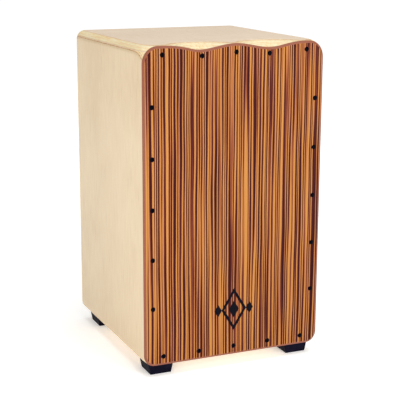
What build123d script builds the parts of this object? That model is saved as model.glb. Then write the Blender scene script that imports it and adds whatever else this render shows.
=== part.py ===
"""A cajon: a box drum that the player sits on, with a screwed-on playing board and snare wires inside.

Frame: +Z up, +X to the right as the playing board is looked at, -Y out of the playing board.
The origin is on the floor, at the middle of the outline. All sizes are in millimetres.
"""

from build123d import *

import os

os.makedirs("parts", exist_ok=True)

# --- Driving dimensions ------------------------------------------------------------------------
body_width = 294.0
shell_height = 482.0
ring_depth = 297.0  # the ring of four panels, without the boards on its front and back
foot_height = 18.0

panel_thickness = 9.0
tapa_thickness = 4.0
back_thickness = 4.0
corner_radius = 15.0  # the long rounded edges of the ring
tapa_top_corner_wide = 24.0  # the top corners of the playing board are quarter ellipses
tapa_top_corner_tall = 26.0
tapa_bottom_radius = 17.5

# The finger scallops along the top of the playing board
hump_drop = 1.0
wave_depth = 7.6
valley_x = 56.0
outer_hump_x = 114.0

# Behind the playing board the ring is eased back to its own outline, in steps
easing_setback = 40.0
easing_steps = (40.0, 30.0, 21.0, 13.0, 7.0, 3.0, 0.0)
wave_easing_power = 1.25  # the scallops run out almost straight
corner_easing_power = 3.0  # the corners run out sooner behind the playing board

# The eased front edge of the playing board
tapa_ease_deep = 3.2
tapa_ease_wide = 4.2
tapa_ease_round = 1.2

front_batten = 18.0
rear_batten = 12.0
wood_ease = 0.8
back_edge_ease = 1.2

sound_hole_radius = 59.0
sound_hole_height = 268.0
sound_hole_ease = 0.8

# Oval-head wood screws that hold the playing board
screw_head_radius = 3.7
screw_head_dome = 1.2
screw_shank_radius = 1.75
screw_length = 19.0
screw_point = 4.0
screw_play = 0.06
side_screw_inset = 13.7
side_screw_pitch = 75.8
side_screw_middle = 260.3
bottom_screw_inset = 14.4
hump_screw_drop = 13.6
valley_screw_drop = 17.2
valley_screw_x = 54.6
bottom_screw_x = 58.6
end_screw_x = 116.8

# Rubber feet
foot_width = 41.0
foot_depth = 45.0
foot_taper = 11.0  # degrees
foot_corner = 4.0
foot_edge = 1.6
foot_x = 116.2
foot_y = 120.0
foot_recess_radius = 6.5
foot_recess_depth = 9.0
foot_washer_radius = 6.0
foot_washer_thickness = 1.0
foot_screw_radius = 2.0
foot_screw_head_radius = 4.0
foot_screw_head_height = 2.6
foot_screw_bite = 8.0  # how far it goes into the bottom panel

# Snare: a beech bar that tilts on two studs, and two combs of coiled wire
pivot_y = -112.0
pivot_z = 336.0
block_thickness = 16.0
block_width = 30.0
block_height = 44.0
stud_radius = 2.5
stud_embed = 12.0
stud_reach = 17.0
running_gap = 0.08
friction_washer_radius = 8.0
friction_washer_thickness = 1.2
bracket_thickness = 2.0
bracket_width = 20.0
bracket_leg = 26.0
bracket_bend = 2.0
bracket_screw_x = 100.0
bracket_screw_spread = 10.0
bar_width = 18.0
bar_height = 28.0
bar_above_pivot = 14.0  # from the pivot to the underside of the bar
bar_end_gap = 0.7
bar_ease = 1.5
bracket_screw_radius = 1.5
bracket_screw_head_radius = 3.0
bracket_screw_head_height = 1.8
bracket_screw_length = 14.0
nut_hub_radius = 5.0
nut_hub_height = 6.0
nut_wing_span = 11.0  # from the axis to the tip of a wing
nut_wing_rise = 10.5
nut_wing_root = 1.8
nut_wing_tip = 2.6
nut_wing_thickness = 2.2

strand_count = 10
strand_radius = 1.0
strand_pitch = 6.2
first_strand_x = 38.0
strand_bend_radius = 18.0
strand_tip_drop = 37.0  # below the top of the shell
tapa_touch_gap = 0.3
snare_plate_depth = 12.0
snare_plate_thickness = 0.8
snare_plate_margin = 8.0
snare_screw_margin = 4.2
snare_screw_radius = 1.4
snare_screw_head_radius = 2.6
snare_screw_head_height = 1.6
snare_screw_length = 11.0

# --- Planes and levels that follow from them ---------------------------------------------------
shell_bottom = foot_height
shell_top = foot_height + shell_height
shell_middle = (shell_bottom + shell_top) / 2
half_width = body_width / 2
inner_half_width = half_width - panel_thickness
inner_bottom = shell_bottom + panel_thickness
inner_top = shell_top - panel_thickness

overall_depth = screw_head_dome + tapa_thickness + ring_depth + back_thickness
tapa_front = screw_head_dome - overall_depth / 2
ring_front = tapa_front + tapa_thickness
ring_back = ring_front + ring_depth
back_face = ring_back + back_thickness
ring_middle = (ring_front + ring_back) / 2



def upright_plane(y):
    """The X-Z plane at a given y, facing the front."""
    return Plane.XZ.offset(-y)


def facing_front(x, z, y=tapa_front):
    """A place on the front, whose own Z axis points out of it."""
    return Location((x, y, z), (90, 0, 0))


def finish_piece(builder, name):
    """Labels a finished piece and writes it to its own STEP file."""
    builder.part.label = name
    export_step(builder.part, f"parts/{name}.step")
    print(name, len(builder.part.solids()), "solids", round(builder.part.volume), "mm3")


def outline(wave_share, corner_share):
    """The outline across the box, from the ring's own (0, 0) to the playing board's (1, 1).

    It always has the same ten edges, so outlines at different steps can be lofted.
    """
    x, low = half_width, shell_bottom
    low_r = corner_radius + corner_share * (tapa_bottom_radius - corner_radius)
    wide = corner_radius + corner_share * (tapa_top_corner_wide - corner_radius)
    tall = corner_radius + corner_share * (tapa_top_corner_tall - corner_radius)
    hump = shell_top - wave_share * hump_drop
    valley = hump - wave_share * wave_depth
    with BuildLine() as line:
        Line((-x + low_r, low), (x - low_r, low))
        RadiusArc((x - low_r, low), (x, low + low_r), -low_r)
        Line((x, low + low_r), (x, hump - tall))
        EllipticalCenterArc((x - wide, hump - tall), wide, tall, start_angle=0, arc_size=90)
        Line((x - wide, hump), (outer_hump_x, hump))
        Spline(
            (outer_hump_x, hump),
            (valley_x, valley),
            (0, hump),
            (-valley_x, valley),
            (-outer_hump_x, hump),
            tangents=[(-1, 0), (-1, 0)],
        )
        Line((-outer_hump_x, hump), (-x + wide, hump))
        EllipticalCenterArc((-x + wide, hump - tall), wide, tall, start_angle=90, arc_size=90)
        Line((-x, hump - tall), (-x, low + low_r))
        RadiusArc((-x, low + low_r), (-x + low_r, low), -low_r)
    return line.line


# --- The outer form that all four panels are shaped to -----------------------------------------
with BuildPart() as outer_form:
    with BuildSketch(upright_plane(ring_back)):
        add(outline(0, 0))
        make_face()
    extrude(amount=ring_depth - easing_setback)
    eased = []
    for setback in easing_steps:
        nearness = 1 - setback / easing_setback
        with BuildSketch(upright_plane(ring_front + setback)) as step:
            add(outline(nearness**wave_easing_power, nearness**corner_easing_power))
            make_face()
        eased.append(step.sketch)
    loft(sections=eased)


# --- The ring of panels ------------------------------------------------------------------------
with BuildPart() as top_panel:
    with Locations((0, ring_middle, shell_top - panel_thickness / 2)):
        Box(body_width, ring_depth, panel_thickness)
    add(outer_form.part, mode=Mode.INTERSECT)
finish_piece(top_panel, "top_panel")

foot_spots = {
    "front_left_foot": (-foot_x, -foot_y),
    "front_right_foot": (foot_x, -foot_y),
    "rear_left_foot": (-foot_x, foot_y),
    "rear_right_foot": (foot_x, foot_y),
}

with BuildPart() as bottom_panel:
    with Locations((0, ring_middle, shell_bottom + panel_thickness / 2)):
        Box(body_width, ring_depth, panel_thickness)
    add(outer_form.part, mode=Mode.INTERSECT)
    with Locations([(x, y, shell_bottom + foot_screw_bite / 2) for x, y in foot_spots.values()]):
        Cylinder(foot_screw_radius + screw_play, foot_screw_bite, mode=Mode.SUBTRACT)
finish_piece(bottom_panel, "bottom_panel")

for side, name in ((-1, "left_side_panel"), (1, "right_side_panel")):
    with BuildPart() as side_panel:
        with Locations((side * (half_width - panel_thickness / 2), ring_middle, shell_middle)):
            Box(panel_thickness, ring_depth, inner_top - inner_bottom)
        add(outer_form.part, mode=Mode.INTERSECT)
    finish_piece(side_panel, name)


# --- The playing board and its screws ----------------------------------------------------------
side_screw_heights = [side_screw_middle + n * side_screw_pitch for n in (-2, -1, 0, 1, 2)]
top_screws = [(x, shell_top - hump_screw_drop) for x in (-end_screw_x, 0, end_screw_x)]
top_screws += [(x, shell_top - valley_screw_drop) for x in (-valley_screw_x, valley_screw_x)]
bottom_screws = [
    (x, shell_bottom + bottom_screw_inset)
    for x in (-end_screw_x, -bottom_screw_x, 0, bottom_screw_x, end_screw_x)
]
side_screws = {
    side: [(side * (half_width - side_screw_inset), z) for z in side_screw_heights] for side in (-1, 1)
}
all_screws = top_screws + bottom_screws + side_screws[-1] + side_screws[1]

with BuildPart() as tapa:
    with BuildSketch(upright_plane(ring_front)):
        add(outline(1, 1))
        make_face()
    extrude(amount=tapa_thickness)
    front = tapa.faces().sort_by(Axis.Y)[0]
    chamfer(front.edges(), length=tapa_ease_wide, length2=tapa_ease_deep, reference=front)
    front = tapa.faces().sort_by(Axis.Y)[0]
    fillet(front.edges(), radius=tapa_ease_round)
    with Locations([facing_front(x, z) for x, z in all_screws]):
        CounterSinkHole(
            radius=screw_shank_radius + 2 * screw_play,
            counter_sink_radius=screw_head_radius + screw_play,
            counter_sink_angle=90,
        )
finish_piece(tapa, "tapa")

with BuildPart() as wood_screw:
    cone_depth = screw_head_radius - screw_shank_radius
    dome_radius = (screw_head_radius**2 + screw_head_dome**2) / (2 * screw_head_dome)
    with BuildSketch(Plane.XZ):
        with BuildLine():
            RadiusArc((0, screw_head_dome), (screw_head_radius, 0), dome_radius)
            Line((screw_head_radius, 0), (screw_shank_radius, -cone_depth))
            Line((screw_shank_radius, -cone_depth), (screw_shank_radius, screw_point - screw_length))
            Line((screw_shank_radius, screw_point - screw_length), (0, -screw_length))
            Line((0, -screw_length), (0, screw_head_dome))
        make_face()
    revolve(axis=Axis.Z)
    # The cross recess: two slots whose floors slope down to the middle
    with BuildSketch(Plane.XY.offset(screw_head_dome)):
        Rectangle(3.6, 0.9)
        Rectangle(0.9, 3.6)
    extrude(amount=-2.0, taper=12, mode=Mode.SUBTRACT)

with BuildPart() as tapa_screws:
    with Locations([facing_front(x, z) for x, z in all_screws]):
        add(wood_screw.part)
finish_piece(tapa_screws, "tapa_screws")


# --- The board that closes the back, with the sound hole ---------------------------------------
with BuildPart() as back_panel:
    with BuildSketch(upright_plane(back_face)):
        add(outline(0, 0))
        make_face()
        with Locations((0, sound_hole_height)):
            Circle(sound_hole_radius, mode=Mode.SUBTRACT)
    extrude(amount=back_thickness)
    rear_face = back_panel.faces().sort_by(Axis.Y)[-1]
    fillet(rear_face.outer_wire().edges(), radius=back_edge_ease)
    hole_wall = back_panel.faces().filter_by(GeomType.CYLINDER).sort_by(SortBy.AREA)[-1]
    fillet(hole_wall.edges().filter_by(GeomType.CIRCLE), radius=sound_hole_ease)
finish_piece(back_panel, "back_panel")


# --- Battens glued inside the ring: a front frame that takes the screws, and a thinner rear one -
def batten_frame(size, near_face, toward, screw_sets):
    """Four battens around the ring, from near_face on, with a pilot hole for each screw."""
    y = near_face + toward * size / 2
    across = 2 * inner_half_width
    upright = inner_top - inner_bottom - 2 * size
    places = {
        "top": ((0, y, inner_top - size / 2), (across, size, size)),
        "bottom": ((0, y, inner_bottom + size / 2), (across, size, size)),
        "left": ((size / 2 - inner_half_width, y, shell_middle), (size, size, upright)),
        "right": ((inner_half_width - size / 2, y, shell_middle), (size, size, upright)),
    }
    for place, (center, extents) in places.items():
        with BuildPart() as batten:
            with Locations(center):
                Box(*extents)
            add(outer_form.part, mode=Mode.INTERSECT)
            inner_face = batten.faces().sort_by(Axis.Y)[-1 if toward > 0 else 0]
            chamfer(inner_face.edges(), length=wood_ease)
            if place in screw_sets:
                with Locations([facing_front(x, z, near_face) for x, z in screw_sets[place]]):
                    Hole(screw_shank_radius + screw_play, depth=pilot_depth)
        yield place, batten


pilot_depth = screw_length - tapa_thickness + screw_play
front_screw_sets = {
    "top": top_screws,
    "bottom": bottom_screws,
    "left": side_screws[-1],
    "right": side_screws[1],
}
for place, batten in batten_frame(front_batten, ring_front, 1, front_screw_sets):
    finish_piece(batten, f"front_{place}_batten")
for place, batten in batten_frame(rear_batten, ring_back, -1, {}):
    finish_piece(batten, f"rear_{place}_batten")


# --- Pan-head screws, used three times over ----------------------------------------------------
def pan_head_screw(shank, length, head, head_height):
    """A pan-head screw that hangs along -Z from the underside of its head, which is at z = 0."""
    with BuildPart() as screw:
        with Locations((0, 0, head_height / 2)):
            Cylinder(head, head_height)
        fillet(screw.faces().sort_by(Axis.Z)[-1].edges(), radius=head_height * 0.7)
        with Locations((0, 0, -length / 2)):
            Cylinder(shank, length)
        chamfer(screw.faces().sort_by(Axis.Z)[0].edges(), length=shank * 0.6)
        with BuildSketch(Plane.XY.offset(head_height)):
            Rectangle(head, head * 0.26)
            Rectangle(head * 0.26, head)
        extrude(amount=-head_height * 0.6, mode=Mode.SUBTRACT)
    return screw.part


# --- Rubber feet, each held by a screw and a washer --------------------------------------------
for name, (x, y) in foot_spots.items():
    with BuildPart() as foot:
        with BuildSketch(Plane(origin=(x, y, foot_height), z_dir=(0, 0, -1))):
            RectangleRounded(foot_width, foot_depth, foot_corner)
        extrude(amount=foot_height, taper=foot_taper)
        fillet(foot.faces().sort_by(Axis.Z)[0].edges(), radius=foot_edge)
        with Locations((x, y, foot_recess_depth / 2)):
            Cylinder(foot_recess_radius, foot_recess_depth, mode=Mode.SUBTRACT)
        with Locations((x, y, foot_height / 2)):
            Cylinder(foot_screw_radius + screw_play, foot_height, mode=Mode.SUBTRACT)
    finish_piece(foot, name)

with BuildPart() as foot_washers:
    washer_bottom = foot_recess_depth - foot_washer_thickness
    with Locations([(x, y, washer_bottom + foot_washer_thickness / 2) for x, y in foot_spots.values()]):
        Cylinder(foot_washer_radius, foot_washer_thickness)
        Cylinder(foot_screw_radius + screw_play, foot_washer_thickness, mode=Mode.SUBTRACT)
finish_piece(foot_washers, "foot_washers")

foot_screw_length = foot_height - washer_bottom + foot_screw_bite
foot_screw = pan_head_screw(
    foot_screw_radius, foot_screw_length, foot_screw_head_radius, foot_screw_head_height
)
with BuildPart() as foot_screws:
    with Locations([Location((x, y, washer_bottom), (180, 0, 0)) for x, y in foot_spots.values()]):
        add(foot_screw)
finish_piece(foot_screws, "foot_screws")

# --- Snare: the pivots -------------------------------------------------------------------------
block_face_x = inner_half_width - block_thickness
washer_face_x = block_face_x - friction_washer_thickness
bracket_outer_x = washer_face_x - running_gap
bracket_inner_x = bracket_outer_x - bracket_thickness
nut_seat_x = bracket_inner_x - running_gap
bar_bottom = pivot_z + bar_above_pivot
bar_top = bar_bottom + bar_height
sides = {"left": -1, "right": 1}


def pointing_inward(side, x):
    """A place on the pivot axis, whose own Z axis points to the middle of the box."""
    return Plane(origin=(side * x, pivot_y, pivot_z), x_dir=(0, 1, 0), z_dir=(-side, 0, 0))


with BuildPart() as wing_nut:
    with BuildSketch(Plane.XZ):
        with Locations((nut_hub_radius - nut_wing_root, nut_wing_root)):
            Circle(nut_wing_root)
        with Locations((nut_wing_span - nut_wing_tip, nut_wing_rise - nut_wing_tip)):
            Circle(nut_wing_tip)
        make_hull()
        mirror(about=Plane.YZ)
    extrude(amount=nut_wing_thickness / 2, both=True)
    fillet(wing_nut.edges().filter_by(GeomType.CIRCLE), radius=0.6)
    with Locations((0, 0, nut_hub_height / 2)):
        Cylinder(nut_hub_radius, nut_hub_height)
    fillet(wing_nut.edges().filter_by(GeomType.CIRCLE).group_by(SortBy.RADIUS)[-1], radius=0.6)
    Cylinder(stud_radius + running_gap, 4 * nut_hub_height, mode=Mode.SUBTRACT)

for name, side in sides.items():
    with BuildPart() as pivot_block:
        with Locations((side * (block_face_x + block_thickness / 2), pivot_y, pivot_z)):
            Box(block_thickness, block_width, block_height)
        loose_face = pivot_block.faces().sort_by(Axis.X)[0 if side > 0 else -1]
        chamfer(loose_face.edges(), length=wood_ease)
        with Locations(pointing_inward(side, block_face_x).location):
            Hole(stud_radius + screw_play, depth=stud_embed + screw_play)
    finish_piece(pivot_block, f"{name}_pivot_block")

    with BuildPart() as pivot_stud:
        with BuildSketch(pointing_inward(side, block_face_x + stud_embed)):
            Circle(stud_radius)
        extrude(amount=stud_embed + stud_reach)
        chamfer(pivot_stud.edges().filter_by(GeomType.CIRCLE), length=0.5)
    finish_piece(pivot_stud, f"{name}_pivot_stud")

    with BuildPart() as friction_washer:
        with BuildSketch(pointing_inward(side, block_face_x)):
            Circle(friction_washer_radius)
            Circle(stud_radius + running_gap, mode=Mode.SUBTRACT)
        extrude(amount=friction_washer_thickness)
    finish_piece(friction_washer, f"{name}_friction_washer")

    with BuildPart() as nut:
        with Locations(pointing_inward(side, nut_seat_x).location):
            add(wing_nut.part)
    finish_piece(nut, f"{name}_wing_nut")

# --- Snare: the tilting bar and its brackets ---------------------------------------------------
bracket_screw_places = [
    (side * bracket_screw_x, pivot_y + offset)
    for side in sides.values()
    for offset in (-bracket_screw_spread / 2, bracket_screw_spread / 2)
]
last_strand_x = first_strand_x + (strand_count - 1) * strand_pitch
snare_screw_places = [
    (side * x, pivot_y)
    for side in sides.values()
    for x in (first_strand_x - snare_screw_margin, last_strand_x + snare_screw_margin)
]

with BuildPart() as snare_bar:
    with Locations((0, pivot_y, (bar_bottom + bar_top) / 2)):
        Box(2 * (bracket_inner_x - bar_end_gap), bar_width, bar_height)
    fillet(snare_bar.edges().filter_by(Axis.X), radius=bar_ease)
    with Locations([Location((x, y, bar_bottom), (180, 0, 0)) for x, y in bracket_screw_places]):
        Hole(bracket_screw_radius + screw_play, depth=bracket_screw_length)
    with Locations([(x, y, bar_top) for x, y in snare_screw_places]):
        Hole(snare_screw_radius + screw_play, depth=snare_screw_length)
finish_piece(snare_bar, "snare_bar")

for name, side in sides.items():
    with BuildPart() as bracket:
        with BuildSketch(pointing_inward(side, bracket_outer_x)):
            Circle(bracket_width / 2)
            with Locations((0, -side * bar_above_pivot / 2)):
                Rectangle(bracket_width, bar_above_pivot)
        extrude(amount=bracket_thickness)
        leg_x = side * (bracket_outer_x - bracket_leg / 2)
        with Locations((leg_x, pivot_y, bar_bottom - bracket_thickness / 2)):
            Box(bracket_leg, bracket_width, bracket_thickness)
        outer_bend = bracket.edges().filter_by(Axis.Y).sort_by(lambda e: side * e.center().X + e.center().Z)
        fillet(outer_bend[-1], radius=bracket_bend)
        with Locations(pointing_inward(side, bracket_outer_x).location):
            Cylinder(stud_radius + running_gap, 3 * bracket_thickness, mode=Mode.SUBTRACT)
        with Locations([(x, y, bar_bottom) for x, y in bracket_screw_places if x * side > 0]):
            Hole(bracket_screw_radius + screw_play, depth=bracket_thickness)
    finish_piece(bracket, f"{name}_bar_bracket")

bracket_screw = pan_head_screw(
    bracket_screw_radius, bracket_screw_length, bracket_screw_head_radius, bracket_screw_head_height
)
head_seat = bar_bottom - bracket_thickness
with BuildPart() as bracket_screws:
    with Locations([Location((x, y, head_seat), (180, 0, 0)) for x, y in bracket_screw_places]):
        add(bracket_screw)
finish_piece(bracket_screws, "bracket_screws")

# --- Snare: the two combs of wire --------------------------------------------------------------
plate_top = bar_top + snare_plate_thickness
plate_middle_x = (first_strand_x + last_strand_x) / 2
plate_width = last_strand_x - first_strand_x + 2 * snare_plate_margin
strand_level = plate_top + strand_radius
strand_front = ring_front + tapa_touch_gap + strand_radius
strand_start = pivot_y + snare_plate_depth / 2 - strand_radius
strand_tip = shell_top - strand_tip_drop

for name, side in sides.items():
    with BuildPart() as snare_plate:
        with Locations((side * plate_middle_x, pivot_y, bar_top + snare_plate_thickness / 2)):
            Box(plate_width, snare_plate_depth, snare_plate_thickness)
        fillet(snare_plate.edges().filter_by(Axis.Z), radius=2)
        with Locations([(x, y, plate_top) for x, y in snare_screw_places if x * side > 0]):
            Hole(snare_screw_radius + screw_play, depth=snare_plate_thickness)
    finish_piece(snare_plate, f"{name}_snare_plate")

with BuildPart() as strand:
    with BuildLine(Plane.YZ) as route:
        FilletPolyline(
            (strand_start, strand_level),
            (strand_front, strand_level),
            (strand_front, strand_tip),
            radius=strand_bend_radius,
        )
    with BuildSketch(Plane(origin=(0, strand_start, strand_level), z_dir=(0, -1, 0))):
        Circle(strand_radius)
    sweep(path=route.line)

for name, side in sides.items():
    with BuildPart() as snare_wires:
        with Locations([(side * (first_strand_x + n * strand_pitch), 0, 0) for n in range(strand_count)]):
            add(strand.part)
    finish_piece(snare_wires, f"{name}_snare_wires")

snare_screw = pan_head_screw(
    snare_screw_radius, snare_screw_length, snare_screw_head_radius, snare_screw_head_height
)
with BuildPart() as snare_plate_screws:
    with Locations([(x, y, plate_top) for x, y in snare_screw_places]):
        add(snare_screw)
finish_piece(snare_plate_screws, "snare_plate_screws")
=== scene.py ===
# %% [markdown]
# # A cajon, finished in Blender
#
# A cajon is a box drum. Four plywood panels make a ring, a thin board closes the back, and the
# playing board, called the tapa, is screwed over the front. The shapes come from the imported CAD
# model, which stays as it is. This script gives every piece its finish, and swaps the few pieces
# whose CAD form is only a stand-in, such as the coiled snare wires.

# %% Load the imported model
import math

import bmesh
import bpy
from mathutils import Matrix, Vector


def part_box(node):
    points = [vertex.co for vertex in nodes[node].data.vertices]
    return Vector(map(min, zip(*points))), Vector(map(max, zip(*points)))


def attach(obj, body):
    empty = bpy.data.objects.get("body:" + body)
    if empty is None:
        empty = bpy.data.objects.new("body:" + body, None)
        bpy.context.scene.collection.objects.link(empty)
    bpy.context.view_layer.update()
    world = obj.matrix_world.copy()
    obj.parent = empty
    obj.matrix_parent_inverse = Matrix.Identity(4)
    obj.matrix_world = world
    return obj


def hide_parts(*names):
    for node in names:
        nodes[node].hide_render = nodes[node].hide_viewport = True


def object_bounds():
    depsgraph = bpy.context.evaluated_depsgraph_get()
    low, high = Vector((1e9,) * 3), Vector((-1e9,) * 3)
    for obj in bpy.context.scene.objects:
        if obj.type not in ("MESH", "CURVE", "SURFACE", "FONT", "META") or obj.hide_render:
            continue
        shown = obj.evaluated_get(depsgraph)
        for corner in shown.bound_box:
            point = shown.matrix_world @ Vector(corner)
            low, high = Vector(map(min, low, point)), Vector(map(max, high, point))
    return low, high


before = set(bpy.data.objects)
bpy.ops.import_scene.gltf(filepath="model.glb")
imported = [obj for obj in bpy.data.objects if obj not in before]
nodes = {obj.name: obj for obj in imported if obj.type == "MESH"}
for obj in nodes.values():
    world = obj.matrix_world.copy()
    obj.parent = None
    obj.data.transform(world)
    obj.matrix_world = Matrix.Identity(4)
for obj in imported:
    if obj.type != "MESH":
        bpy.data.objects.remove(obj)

cad_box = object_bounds()
low, high = cad_box
print("overall size in mm:", [round(1000 * (b - a), 1) for a, b in zip(low, high)])

# %% [markdown]
# ## Camera
#
# A long lens keeps the upright edges of the box nearly parallel. The camera is aimed at a point
# near the middle of the box, and is placed by turning away from the front and stepping back.

# %% Camera
turn = math.radians(23.80)  # from straight ahead towards the left side
rise = math.radians(13.16)  # above the horizon
lean = math.radians(0.19)
stand_back = 1.829
aim = Vector((0.0095, 0.0, 0.2309))

forward = Vector((math.sin(turn) * math.cos(rise), math.cos(turn) * math.cos(rise), -math.sin(rise)))
camera_data = bpy.data.cameras.new("camera")
camera_data.lens = 100.6
camera = bpy.data.objects.new("camera", camera_data)
camera.matrix_world = (
    Matrix.Translation(aim - forward * stand_back)
    @ forward.to_track_quat("-Z", "Y").to_matrix().to_4x4()
    @ Matrix.Rotation(lean, 4, "Z")
)
bpy.context.scene.collection.objects.link(camera)
bpy.context.scene.camera = camera
print("camera at", [round(v, 3) for v in camera.matrix_world.translation])

# %% [markdown]
# ## Floor and light
#
# Pale wood shows its grain best in broad, soft light. One large panel lights the front, a small
# one the left side, and a third hangs overhead, so that the seat is about as bright as the sides.
# The world is white. As a light it is dim, and only fills the shadows, while as a backdrop it is
# bright, so that a low view shows no grey beyond the floor. Plain colour management keeps the
# wood's colours as they are mixed.

# %% Floor
bpy.context.scene.view_settings.view_transform = "Standard"

floor_reach = 40.0
sweep = bmesh.new()
bmesh.ops.create_grid(sweep, x_segments=1, y_segments=1, size=floor_reach)
floor_mesh = bpy.data.meshes.new("floor")
sweep.to_mesh(floor_mesh)
sweep.free()
floor = bpy.data.objects.new("floor", floor_mesh)
bpy.context.scene.collection.objects.link(floor)
print("the floor reaches", floor_reach, "m each way")


# %% Lights
def soft_panel(name, place, target, size, watts, tint=(1, 1, 1)):
    """A square area light at a place, turned to face a target."""
    data = bpy.data.lights.new(name, "AREA")
    data.shape = "SQUARE"
    data.size = size
    data.energy = watts
    data.color = tint
    panel = bpy.data.objects.new(name, data)
    place = Vector(place)
    panel.matrix_world = (
        Matrix.Translation(place)
        @ (Vector(target) - place).to_track_quat("-Z", "Y").to_matrix().to_4x4()
    )
    panel.visible_camera = False
    bpy.context.scene.collection.objects.link(panel)
    print(name, watts, "W")


middle = (0, 0, 0.26)
lower_left = (-0.15, -0.12, 0.24)
daylight = (0.93, 0.98, 1.0)
soft_panel("front_panel", (0.9, -2.4, 1.3), middle, size=1.8, watts=29)
soft_panel("left_panel", (-0.62, -0.62, 0.24), lower_left, size=0.35, watts=1.25)
soft_panel("overhead_panel", (0.1, -0.2, 2.4), middle, size=1.8, watts=37, tint=daylight)

# %% World
world = bpy.data.worlds.new("studio")
world.use_nodes = True
sky = world.node_tree.nodes["Background"]
sky.inputs["Color"].default_value = (1, 1, 1, 1)
path = world.node_tree.nodes.new("ShaderNodeLightPath")
brightness = world.node_tree.nodes.new("ShaderNodeMapRange")
as_light, as_backdrop = 0.27, 1.0
brightness.inputs["To Min"].default_value = as_light
brightness.inputs["To Max"].default_value = as_backdrop
world.node_tree.links.new(path.outputs["Is Camera Ray"], brightness.inputs["Value"])
world.node_tree.links.new(brightness.outputs["Result"], sky.inputs["Strength"])
bpy.context.scene.world = world
print("world:", as_light, "as a light,", as_backdrop, "as a backdrop")

# %% [markdown]
# ## Writing finishes as sums
#
# A node material is really a formula. Wiring it by hand hides that, so two small classes let the
# formula be written down. `Wire` is one output of a node, and does arithmetic. `Finish` is one
# material, and its `node` method makes any node from its type, its settings and its inputs.


# %% Wire: one output, with arithmetic
class Wire:
    """One output of a node. Sums on wires, such as 1 - mask, add the Math nodes that they need."""

    def __init__(self, finish, socket):
        self.finish = finish
        self.socket = socket

    def math(self, operation, *terms):
        return self.finish.node("ShaderNodeMath", {"operation": operation}, *terms)

    def __add__(self, other):
        return self.math("ADD", self, other)

    def __sub__(self, other):
        return self.math("SUBTRACT", self, other)

    def __rsub__(self, other):
        return self.math("SUBTRACT", other, self)

    def __mul__(self, other):
        return self.math("MULTIPLY", self, other)

    def __lt__(self, other):
        return self.math("LESS_THAN", self, other)

    def __mod__(self, other):
        return self.math("FLOORED_MODULO", self, other)

    def __abs__(self):
        return self.math("ABSOLUTE", self)

    def least(self, other):
        return self.math("MINIMUM", self, other)

    def fade(self, start, end):
        """0 up to start, 1 from end on, and a smooth change between them."""
        settings = {"interpolation_type": "SMOOTHSTEP"}
        ends = {"From Min": start, "From Max": end}
        return self.finish.node("ShaderNodeMapRange", settings, Value=self, **ends)

    __radd__ = __add__
    __rmul__ = __mul__


# %% Finish: one material
def tone(red, green, blue):
    """A colour given as a screen shows it, from 0 to 255, in the linear light that Blender mixes."""
    parts = [v / 255 for v in (red, green, blue)]
    return tuple(v / 12.92 if v <= 0.04045 else ((v + 0.055) / 1.055) ** 2.4 for v in parts) + (1.0,)


class Finish:
    """A material whose nodes are made by calls, and whose sizes are in millimetres."""

    def __init__(self, name):
        self.material = bpy.data.materials.new(name)
        self.material.use_nodes = True
        self.tree = self.material.node_tree
        self.shader = self.tree.nodes["Principled BSDF"]
        place = self.node("ShaderNodeTexCoord", {}, output="Object")
        self.place = self.node("ShaderNodeVectorMath", {"operation": "SCALE"}, place, Scale=1000.0)
        self.x, self.y, self.z = (
            self.node("ShaderNodeSeparateXYZ", {}, self.place, output=axis) for axis in "XYZ"
        )

    def put(self, socket, value):
        """Gives an input a wire, a number or a colour."""
        if isinstance(value, Wire):
            self.tree.links.new(value.socket, socket)
        else:
            socket.default_value = value

    def node(self, kind, settings, *inputs, output=0, **named_inputs):
        """A node of any kind. Inputs are given in order or by name, and one output is returned."""
        node = self.tree.nodes.new(kind)
        for setting, value in settings.items():
            setattr(node, setting, value)
        for number, value in enumerate(inputs):
            self.put(node.inputs[number], value)
        for name, value in named_inputs.items():
            self.put(node.inputs[name], value)
        return Wire(self, node.outputs[output])

    def point(self, x, y, z):
        return self.node("ShaderNodeCombineXYZ", {}, x, y, z)

    def noise(self, point, scale=1.0, detail=2.0, roughness=0.5):
        """Soft noise, about 0.5 on average. A scale of 1 gives lumps about 1 mm across."""
        sizes = {"Scale": scale, "Detail": detail, "Roughness": roughness}
        return self.node("ShaderNodeTexNoise", {"noise_dimensions": "3D"}, Vector=point, **sizes)

    def mix(self, share, first, second):
        """A colour that goes from first to second as share goes from 0 to 1."""
        mixed = self.tree.nodes.new("ShaderNodeMix")
        mixed.data_type = "RGBA"
        for number, value in ((0, share), (6, first), (7, second)):  # its colour sockets
            self.put(mixed.inputs[number], value)
        return Wire(self, mixed.outputs[2])

    def ramp(self, value, *stops):
        """A colour read off a row of (position, colour) stops."""
        node = self.tree.nodes.new("ShaderNodeValToRGB")
        elements = node.color_ramp.elements
        elements[0].position, elements[0].color = stops[0]
        elements[1].position, elements[1].color = stops[-1]
        for position, colour in stops[1:-1]:
            elements.new(position).color = colour
        self.put(node.inputs[0], value)
        return Wire(self, node.outputs[0])

    def bump(self, height, depth, strength=1.0):
        """Turns a height from 0 to 1 into relief of that depth in millimetres."""
        normal = self.node(
            "ShaderNodeBump", {}, Height=height, Distance=depth / 1000, Strength=strength, output="Normal"
        )
        self.put(self.shader.inputs["Normal"], normal)

    def surface(self, **inputs):
        """Sets inputs of the shader itself, with an underscore for each space in a name."""
        for name, value in inputs.items():
            self.put(self.shader.inputs[name.replace("_", " ")], value)
        return self.material


def dress(material, *names):
    """Gives a material to the slots of the named CAD nodes."""
    for name in names:
        for slot in nodes[name].material_slots:
            slot.material = material
    print(material.name, "on", ", ".join(names))


# %% [markdown]
# ## The floor's paint
#
# The floor is matt white, with faint scuffs. It also glows a little, as a light table does, and
# glows more the further it is from the drum, so that it has no horizon and throws little light up.

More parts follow.
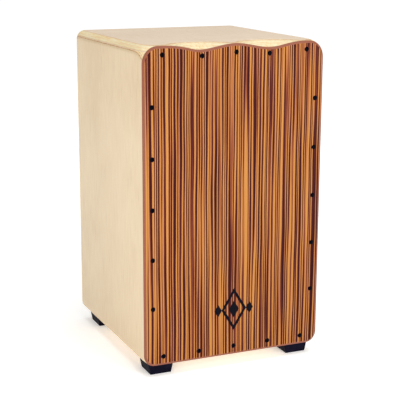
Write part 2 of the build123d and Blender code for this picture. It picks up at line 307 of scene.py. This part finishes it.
# %% Floor paint
paint = Finish("floor_paint")
reach = paint.node("ShaderNodeVectorMath", {"operation": "LENGTH"}, paint.place, output="Value")
scuffs = paint.noise(paint.place, scale=0.004, detail=3.0)
glow_near, glow_far = (0.40, 0.40, 0.40, 1), (0.80, 0.80, 0.80, 1)
floor_mesh.materials.append(
    paint.surface(
        Base_Color=paint.ramp(scuffs, (0.3, tone(246, 246, 247)), (0.7, tone(250, 250, 250))),
        Roughness=scuffs * 0.1 + 0.85,
        Specular_IOR_Level=0.1,
        Emission_Color=paint.mix(reach.fade(350, 1600), glow_near, glow_far),
        Emission_Strength=1.0,
    )
)
print("floor painted with", floor_mesh.materials[0].name)

# %% [markdown]
# ## Plywood
#
# Plywood is a stack of veneers glued with the grain crossed. Flat, it shows one veneer. Where an
# edge is rounded, the cut runs down through the stack and the plies come out as bands, with torn
# brown glue lines between them. A picture wrapped round the outside would miss that. A solid
# pattern doesn't: the finish asks how deep below the face a point lies, and picks the ply from
# the depth. A little noise in the depth makes the bands ragged. The seat's veneer is the same
# birch, painted paler and bluer as painted light from overhead.


# %% Wood grain
def streaks(finish, along, fine=1.0):
    """Grain lines along an axis: noise that is squeezed across the grain and drawn out along it."""
    wander = finish.noise(finish.place, scale=0.006, detail=1.0) * 9.0
    stretch = {axis: (0.025 if axis == along else 0.8 * fine) for axis in "xyz"}
    squeezed = finish.point(
        finish.x * stretch["x"] + (wander if along != "x" else 0.0),
        finish.y * stretch["y"] + (wander if along == "z" else 0.0),
        finish.z * stretch["z"],
    )
    return finish.noise(squeezed, detail=4.0, roughness=0.6)


ply_thickness = 1.35  # in millimetres, as the next two
veneer_thickness = 0.7
glue_depth = veneer_thickness + 0.14
birch = (tone(216, 184, 140), tone(231, 203, 160), tone(240, 216, 176))
# Painted light: the seat's tones are the same birch, made paler and bluer as if lit from overhead.
birch_painted_top_lit = (tone(223, 192, 161), tone(238, 212, 184), tone(247, 224, 199))


def plywood(name, depth_at, thickness, face_grain, core_grain, veneer_tones=birch, glue=0.95):
    """Birch plywood: a pale veneer on both faces, and plies of two tones between them."""
    finish = Finish(name)
    depth = depth_at(finish)
    ragged = finish.noise(finish.place, scale=0.13, detail=3.0, roughness=0.6) * 0.5 - 0.25
    inward = depth.least(thickness - depth) + ragged
    face = streaks(finish, face_grain)
    cloud = finish.noise(finish.place, scale=0.011)
    veneer = finish.ramp(face * 0.7 + cloud * 0.3, *zip((0.30, 0.48, 0.70), veneer_tones))
    core = streaks(finish, core_grain, fine=0.8)
    long_ply = finish.ramp(
        core,
        (0.30, tone(244, 192, 122)),
        (0.42, tone(255, 228, 172)),
        (0.58, tone(255, 242, 204)),
    )
    cross_ply = finish.ramp(core, (0.35, tone(238, 188, 130)), (0.65, tone(252, 222, 170)))
    wobble = finish.noise(finish.place, scale=0.05, detail=1.0) * 0.5 - 0.25
    layer = (inward + wobble - veneer_thickness) % (2 * ply_thickness)
    plies = finish.mix((layer < ply_thickness * 0.6) * 0.75, long_ply, cross_ply)
    torn = finish.noise(finish.place, scale=0.22, detail=3.0).fade(0.38, 0.56)
    glue_line = (1 - abs(inward - glue_depth).fade(0.08, 0.36)) * (torn * 0.6 + 0.4)
    joint_line = (1 - abs(layer - ply_thickness).fade(0.04, 0.26)) * (0.9 - torn * 0.6)
    cut = finish.mix((glue_line + joint_line) * glue, plies, tone(176, 104, 48))
    below = inward.fade(veneer_thickness - 0.04, veneer_thickness + 0.04)
    finish.bump(face * (1 - below) + core * below, 0.05, strength=0.5)
    gloss = face * 0.12 + 0.36
    wood = finish.mix(below, veneer, cut)
    return finish.surface(Base_Color=wood, Roughness=gloss, Coat_Weight=0.15, Coat_Roughness=0.25)


# %% The four panels of the ring
inner_x, outer_x = (corner.x * 1000 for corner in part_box("right_side_panel"))
panel_thickness = outer_x - inner_x
shell_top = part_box("top_panel")[1].z * 1000
shell_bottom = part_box("bottom_panel")[0].z * 1000

# The seat's veneer tones carry painted light from overhead.
seat_ply = plywood(
    "seat_ply", lambda f: shell_top - f.z, panel_thickness, "y", "y", birch_painted_top_lit, glue=0.5
)
floor_ply = plywood("bottom_ply", lambda f: f.z - shell_bottom, panel_thickness, "y", "y")
side_ply = plywood("side_ply", lambda f: outer_x - abs(f.x), panel_thickness, "z", "y")
dress(seat_ply, "top_panel")
dress(floor_ply, "bottom_panel")
dress(side_ply, "left_side_panel", "right_side_panel")
print("panel thickness", round(panel_thickness, 2), "mm")

# %% [markdown]
# ## The board at the back
#
# It is thinner, and its grain runs upright. The rim of the sound hole shows its plies. It is made
# of the same stuff, so the same formula serves, with the depth measured from its outer face.

# %% Back panel
back_low, back_high = (corner.y * 1000 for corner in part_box("back_panel"))
back_ply = plywood("back_ply", lambda f: back_high - f.y, back_high - back_low, "z", "x")
dress(back_ply, "back_panel")
print("back panel thickness", round(back_high - back_low, 2), "mm")

# %% [markdown]
# ## The striped playing board
#
# The face is a dressed veneer, sliced so that its growth layers stand as straight dark stripes.
# A wave texture would space them evenly, which looks printed, and noise alone would blur them. So
# the finish counts growth layers across the board. The count drifts, each layer has its own
# weight, and finer lines and streaks are laid over them. All follow one slow sway. Under the
# veneer the board is a reddish core, which the eased edge lays bare.


# %% Striped veneer
def striped_board():
    """The playing board: stripes on its face, a layered core at its edge, plain veneer behind."""
    finish = Finish("striped_board")
    front, back = (corner.y * 1000 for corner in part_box("tapa"))
    depth = finish.y - front
    sway = finish.noise(finish.point(finish.x * 0.01, 0.0, finish.z * 0.008), detail=1.0) * 2.8
    u = finish.x + sway
    drift = finish.noise(finish.point(u * 0.11, 3.0, finish.z * 0.0010), detail=1.0) * 2.6
    count = u * 0.21 + drift
    layer = abs((count % 1.0) - 0.5) * 2.0
    weight = finish.noise(finish.point(count * 0.9, 1.0, finish.z * 0.0028), detail=1.0)
    lines = finish.noise(finish.point(u * 0.55, 5.0, finish.z * 0.005), detail=1.0, roughness=0.5)
    fine = finish.noise(finish.point(u * 1.4, 7.0, finish.z * 0.03), detail=2.0, roughness=0.6)
    dark = layer * 0.26 + weight * 0.40 + lines * 0.28 + fine * 0.06
    colour = finish.ramp(
        dark,
        (0.40, tone(199, 135, 68)),
        (0.46, tone(182, 112, 60)),
        (0.495, tone(145, 74, 47)),
        (0.525, tone(102, 42, 34)),
        (0.56, tone(70, 20, 20)),
        (0.66, tone(48, 10, 12)),
    )
    core_layer = (depth % 1.3) < 0.55
    core_streaks = streaks(finish, "x")
    core = finish.mix(core_layer * 0.5, tone(150, 90, 70), tone(126, 68, 52))
    core = finish.mix(core_streaks.fade(0.3, 0.7) * 0.3, core, tone(170, 112, 88))
    cut = depth.fade(0.5, 0.62)
    plain = finish.ramp(streaks(finish, "z"), (0.3, tone(212, 180, 140)), (0.7, tone(232, 206, 168)))
    inside = (back - finish.y) < 0.3
    wood = finish.mix(inside, finish.mix(cut, colour, core), plain)
    finish.bump(fine, 0.03, strength=0.5)
    gloss = dark * 0.2 + 0.30
    return finish.surface(Base_Color=wood, Roughness=gloss, Specular_IOR_Level=0.08)


dress(striped_board(), "tapa")

# %% [markdown]
# ## Battens and beech
#
# The battens are planed spruce, with strong growth lines. The snare bar and its blocks are beech,
# which is pinker and flecked with short dark rays. Both are the same drawn-out noise as the
# plywood's grain, turned to run along each stick, because that is how wood is sawn for them.


# %% Spruce and beech
def spruce(name, along):
    """Planed spruce, with its growth lines along an axis."""
    finish = Finish(name)
    grain = streaks(finish, along, fine=0.5)
    rings = finish.ramp(
        grain,
        (0.32, tone(196, 142, 84)),
        (0.50, tone(226, 186, 128)),
        (0.70, tone(238, 206, 156)),
    )
    finish.bump(grain, 0.08, strength=0.6)
    return finish.surface(Base_Color=rings, Roughness=grain * 0.15 + 0.55)


def beech(name, along):
    """Beech, with its rays drawn out along an axis."""
    finish = Finish(name)
    grain = streaks(finish, along, fine=0.7)
    body = finish.ramp(grain, (0.3, tone(186, 132, 92)), (0.7, tone(214, 164, 122)))
    places = {"x": finish.x, "y": finish.y, "z": finish.z}
    drawn_out = [place * (0.16 if axis == along else 1.1) for axis, place in places.items()]
    flecks = finish.noise(finish.point(*drawn_out), detail=0.0).fade(0.64, 0.70)
    finish.bump(grain, 0.05, strength=0.5)
    wood = finish.mix(flecks * 0.6, body, tone(146, 92, 60))
    return finish.surface(Base_Color=wood, Roughness=grain * 0.12 + 0.5)


across = spruce("spruce_across", "x")
upright = spruce("spruce_upright", "z")
for end in ("front", "rear"):
    dress(across, f"{end}_top_batten", f"{end}_bottom_batten")
    dress(upright, f"{end}_left_batten", f"{end}_right_batten")
dress(beech("beech_bar", "x"), "snare_bar")
dress(beech("beech_block", "z"), "left_pivot_block", "right_pivot_block")

# %% [markdown]
# ## Rubber, blacked steel, zinc and brass
#
# Small parts still need their own surface. Moulded rubber is finely pitted and dusty in patches.
# The screws are blacked steel with a blue cast. Zinc plating is cloudy, and sheet brass has rolling
# lines. The metals could each have a formula, but they differ only in tones, gloss and lines, so
# one function makes them all.


# %% Rubber and metals
def rubber():
    """Black moulded rubber, pitted and a little dusty."""
    finish = Finish("foot_rubber")
    pits = finish.noise(finish.place, scale=1.6)
    dust = finish.noise(finish.place, scale=0.09, detail=3.0)
    finish.bump(pits, 0.08, strength=0.7)
    return finish.surface(
        Base_Color=finish.ramp(dust, (0.35, tone(7, 6, 24)), (0.75, tone(20, 16, 38))),
        Roughness=dust * 0.2 + 0.5,
        Specular_IOR_Level=0.06,
    )


def metal(name, dark, light, rough, lines=None, polish=1.0, glint=0.5):
    """A metal, or with no polish a black that hides it, clouded and finely scratched."""
    finish = Finish(name)
    cloud = finish.noise(finish.place, scale=0.35, detail=3.0)
    if lines:
        fine = streaks(finish, lines, fine=3.0)
    else:
        fine = finish.noise(finish.place, scale=3.0)
    finish.bump(fine, 0.01, strength=0.5)
    return finish.surface(
        Base_Color=finish.ramp(cloud, (0.35, dark), (0.65, light)),
        Roughness=fine * 0.15 + rough,
        Metallic=polish,
        Specular_IOR_Level=glint,
    )


feet = [f"{end}_{side}_foot" for end in ("front", "rear") for side in ("left", "right")]
dress(rubber(), *feet)
black_steel = metal("black_steel", tone(2, 2, 9), tone(9, 9, 20), 0.45, polish=0.0, glint=0.04)
zinc = metal("zinc", tone(150, 152, 158), tone(190, 192, 196), 0.28)
brass = metal("brass", tone(176, 138, 72), tone(206, 170, 100), 0.25, lines="x")
wire_steel = metal("wire_steel", tone(176, 178, 184), tone(214, 216, 220), 0.18)
fibre = metal("fibre", tone(24, 24, 26), tone(44, 43, 44), 0.6, polish=0.0)

dress(black_steel, "tapa_screws")
dress(zinc, "foot_screws", "foot_washers", "bracket_screws", "snare_plate_screws")
for side in ("left", "right"):
    dress(zinc, f"{side}_wing_nut", f"{side}_bar_bracket")
    dress(fibre, f"{side}_friction_washer")
    dress(brass, f"{side}_snare_plate")

# %% [markdown]
# ## The printed device
#
# Makers print a device low on the playing board. This one is plain lozenges. It could be painted
# in the veneer's finish, but ink stands a little proud of the wood and has its own gloss. So each
# lozenge is a very thin solid: a four-sided circle, stretched upright, inset to leave a band where
# it is hollow, and extruded towards the player.


# %% A new piece
def new_piece(name, shape, body, material):
    """Turns a finished bmesh into a piece that rides on a body."""
    mesh = bpy.data.meshes.new(name)
    shape.to_mesh(mesh)
    shape.free()
    mesh.materials.append(material)
    piece = bpy.data.objects.new(name, mesh)
    bpy.context.scene.collection.objects.link(piece)
    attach(piece, body)
    print(name, len(mesh.polygons), "faces")
    return piece


# %% One lozenge
board_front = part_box("tapa")[0].y
millimetre = 0.001
ink_thickness = 0.12 * millimetre


def vertices(made):
    """The vertices among what an operator made."""
    return [part for part in made["geom"] if isinstance(part, bmesh.types.BMVert)]


def add_lozenge(shape, x, z, half_wide, half_tall, band=None):
    """A thin upright lozenge on the playing board. With a band it is a ring, and else it is solid."""
    corners = bmesh.ops.create_circle(shape, cap_ends=True, segments=4, radius=1.0)["verts"]
    face = corners[0].link_faces[0]
    upright = Matrix.Rotation(math.radians(90), 4, "X")
    stretch = Matrix.Diagonal((half_wide, 1.0, half_tall, 1.0))
    place = Matrix.Translation((x, board_front, z))
    bmesh.ops.transform(shape, matrix=place @ stretch @ upright, verts=corners)
    if band:
        insets = bmesh.ops.inset_region(
            shape, faces=[face], thickness=band, use_even_offset=True, use_boundary=True
        )
        ring = insets["faces"]
        bmesh.ops.delete(shape, geom=[face], context="FACES")
    else:
        ring = [face]
    raised = vertices(bmesh.ops.extrude_face_region(shape, geom=ring))
    bmesh.ops.translate(shape, vec=(0, -ink_thickness, 0), verts=raised)


# %% Black lozenges
ink = Finish("black_ink")
speckle = ink.noise(ink.place, scale=0.9, detail=3.0)
ink.bump(speckle, 0.02, strength=0.4)
black_ink = ink.surface(
    Base_Color=ink.ramp(speckle, (0.3, tone(6, 5, 15)), (0.75, tone(16, 14, 26))),
    Roughness=speckle * 0.2 + 0.38,
    Specular_IOR_Level=0.06,
)

device_height = 92 * millimetre
outer_size = (21 * millimetre, 34 * millimetre)
inner_size = (8.5 * millimetre, 13.8 * millimetre)
side_size = (6.2 * millimetre, 10 * millimetre)
side_reach = 26.5 * millimetre

lozenges = bmesh.new()
add_lozenge(lozenges, 0.0, device_height, *outer_size, band=4.2 * millimetre)
add_lozenge(lozenges, 0.0, device_height, *inner_size)
for hand in (-1, 1):
    add_lozenge(lozenges, hand * side_reach, device_height, *side_size)
bmesh.ops.recalc_face_normals(lozenges, faces=lozenges.faces)
new_piece("front_device", lozenges, "shell", black_ink)

# %% [markdown]
# ## Coiled snare wires
#
# Each strand of a snare is a close coil of thin spring wire, which is what makes the buzz. The CAD
# model has plain rods there. A bevelled curve could make a coil, from a long list of points, but
# spin needs none: one small circle of wire is spun about the strand's axis while it steps along
# it. The straight coil is then bent to the strand's route, along the plate, round the bend and up
# behind the playing board.

# %% The strand's route, from the CAD rods
coil_outer = 1.0 * millimetre
wire_radius = 0.17 * millimetre
coil_pitch = 1.0 * millimetre
bend_radius = 18 * millimetre
strand_count = 10
steps_per_turn = 8

wires_low, wires_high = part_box("left_snare_wires")
route_start = wires_high.y
route_level = wires_low.z + coil_outer
route_front = wires_low.y + coil_outer
flat_run = route_start - route_front - bend_radius
arc_run = bend_radius * math.pi / 2
upright_run = wires_high.z - route_level - bend_radius
strand_length = flat_run + arc_run + upright_run
print("each strand is", round(strand_length / millimetre, 1), "mm long")


def along_route(distance):
    """The point at a distance along the route, and the direction that is up on the plate."""
    if distance < flat_run:
        return Vector((0, route_start - distance, route_level)), Vector((0, 0, 1))
    turned = min((distance - flat_run) / bend_radius, math.pi / 2)
    centre = Vector((0, route_front + bend_radius, route_level + bend_radius))
    outward = Vector((0, -math.sin(turned), -math.cos(turned)))
    beyond = max(distance - flat_run - arc_run, 0)
    return centre + outward * bend_radius + Vector((0, 0, beyond)), -outward


def strand_places(node):
    """Where the strands of a comb stand, from left to right."""
    low_x, high_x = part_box(node)[0].x + coil_outer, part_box(node)[1].x - coil_outer
    return [low_x + number * (high_x - low_x) / (strand_count - 1) for number in range(strand_count)]


# %% One coil, copied to every strand
def spin_helix(shape, profile, pitch, turns, steps):
    """Spins a profile about the upright axis, a pitch higher at each turn."""
    bmesh.ops.spin(
        shape,
        geom=profile,
        cent=(0, 0, 0),
        axis=(0, 0, 1),
        dvec=(0, 0, pitch / steps),
        angle=2 * math.pi * turns,
        steps=turns * steps,
    )


def snare_coils(name, node):
    """A comb of coiled strands in place of a CAD comb of rods."""
    first_x, *other_places = strand_places(node)
    turns = round(strand_length / coil_pitch) - 1
    shape = bmesh.new()
    start = Matrix.Translation((coil_outer - wire_radius, 0, wire_radius))
    upright = start @ Matrix.Rotation(math.pi / 2, 4, "X")
    section = bmesh.ops.create_circle(
        shape, cap_ends=True, segments=4, radius=wire_radius, matrix=upright
    )
    end_face = section["verts"][0].link_faces[0]
    spin_helix(shape, [end_face], coil_pitch, turns, steps_per_turn)
    for vertex in shape.verts:
        point, up = along_route(vertex.co.z)
        sideways = vertex.co.x
        vertex.co = point + up * vertex.co.y
        vertex.co.x += sideways
    strand = shape.verts[:] + shape.edges[:] + shape.faces[:]
    for x in other_places:
        copied = vertices(bmesh.ops.duplicate(shape, geom=strand))
        bmesh.ops.translate(shape, vec=(x - first_x, 0, 0), verts=copied)
    bmesh.ops.translate(shape, vec=(first_x, 0, 0), verts=shape.verts)
    bmesh.ops.recalc_face_normals(shape, faces=shape.faces)
    coils = new_piece(name, shape, "snare", wire_steel)
    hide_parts(node)


for side in ("left", "right"):
    snare_coils(f"{side}_snare_coils", f"{side}_snare_wires")

# %% [markdown]
# ## Solder beads and threaded studs
#
# Each coil is held to its brass plate by a bead of solder, a sphere pressed flat. The studs that
# the bar tilts on are threaded, so that the wing nuts can clamp it. Grooves turned round a rod
# would look like a thread, but wouldn't run on from turn to turn. So a thread is made as the coils
# were: one tooth of its profile is spun while it steps one pitch a turn, and each turn meets the
# last.


# %% Solder beads
bead_size = (2.1 * millimetre, 2.6 * millimetre, 1.5 * millimetre)  # from its middle outwards
bead_setback = 2 * millimetre


def solder_beads(name, node, plate):
    """One bead on the plate for each strand of the comb."""
    plate_low, plate_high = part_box(plate)
    bead_y = (plate_low.y + plate_high.y) / 2 + bead_setback
    press = Matrix.Diagonal((*bead_size, 1))
    shape = bmesh.new()
    for x in strand_places(node):
        place = Matrix.Translation((x, bead_y, plate_high.z))
        bmesh.ops.create_uvsphere(
            shape, u_segments=14, v_segments=8, radius=1.0, matrix=place @ press
        )
    beads = new_piece(name, shape, "snare", solder)
    for face in beads.data.polygons:
        face.use_smooth = True


solder = metal("solder", tone(150, 152, 156), tone(186, 188, 190), 0.34)
for side in ("left", "right"):
    solder_beads(f"{side}_solder_beads", f"{side}_snare_wires", f"{side}_snare_plate")


# %% Threaded studs
thread_pitch = 0.8 * millimetre
thread_depth = 0.49 * millimetre
thread_steps = 28


def threaded_stud(name, node):
    """A threaded rod as long and as thick as the plain CAD stud."""
    low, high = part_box(node)
    middle = (low + high) / 2
    crest = high.z - middle.z
    root = crest - thread_depth
    turns = round((high.x - low.x) / thread_pitch) - 2
    spare = (high.x - low.x - (turns + 1) * thread_pitch) / 2
    profile = ((root, 0), (crest, 0.44), (crest, 0.56), (root, 1))
    shape = bmesh.new()
    tooth = [shape.verts.new((radius, 0, rise * thread_pitch)) for radius, rise in profile]
    edges = [shape.edges.new(pair) for pair in zip(tooth, tooth[1:])]
    spin_helix(shape, tooth + edges, thread_pitch, turns, thread_steps)
    bmesh.ops.remove_doubles(shape, verts=shape.verts, dist=thread_pitch / 100)
    bmesh.ops.holes_fill(shape, edges=[edge for edge in shape.edges if edge.is_boundary], sides=0)
    print(name, "has", turns, "turns of thread")
    place = Matrix.Translation((low.x + spare, middle.y, middle.z))
    lay_down = Matrix.Rotation(math.pi / 2, 4, "Y")
    bmesh.ops.transform(shape, matrix=place @ lay_down, verts=shape.verts)
    bmesh.ops.recalc_face_normals(shape, faces=shape.faces)
    stud = new_piece(name, shape, "shell", zinc)
    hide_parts(node)


for side in ("left", "right"):
    threaded_stud(f"{side}_threaded_stud", f"{side}_pivot_stud")
